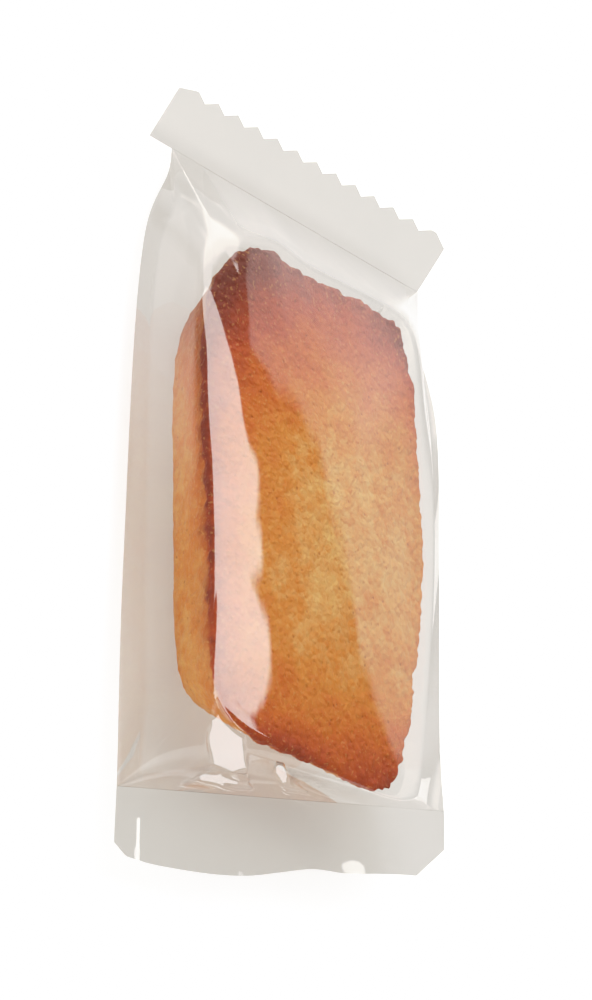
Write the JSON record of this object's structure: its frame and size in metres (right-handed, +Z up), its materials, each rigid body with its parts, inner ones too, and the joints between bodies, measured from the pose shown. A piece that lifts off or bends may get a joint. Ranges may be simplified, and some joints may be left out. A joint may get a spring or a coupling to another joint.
{
  "type": "financier cake in a clear sachet",
  "caption": "Small ingot-shaped almond cake lying wide face up, sealed in a clear film sachet with a zigzag-cut upper seal and a plain lower seal.",
  "frame": {"origin": "middle of the sachet's outline box, on the table it lies on", "axes": "+Y along the sachet towards its zigzag seal, +Z up from the table, +X across the sachet to the right of +Y seen from above"},
  "size_m": [0.0732, 0.1326, 0.0169],
  "materials": {
    "film": "clear glossy film",
    "cake": "baked almond crumb, caramel brown at rim and corners"
  },
  "bodies": {
    "root": {"sachet": "film"}
  },
  "joints": []
}
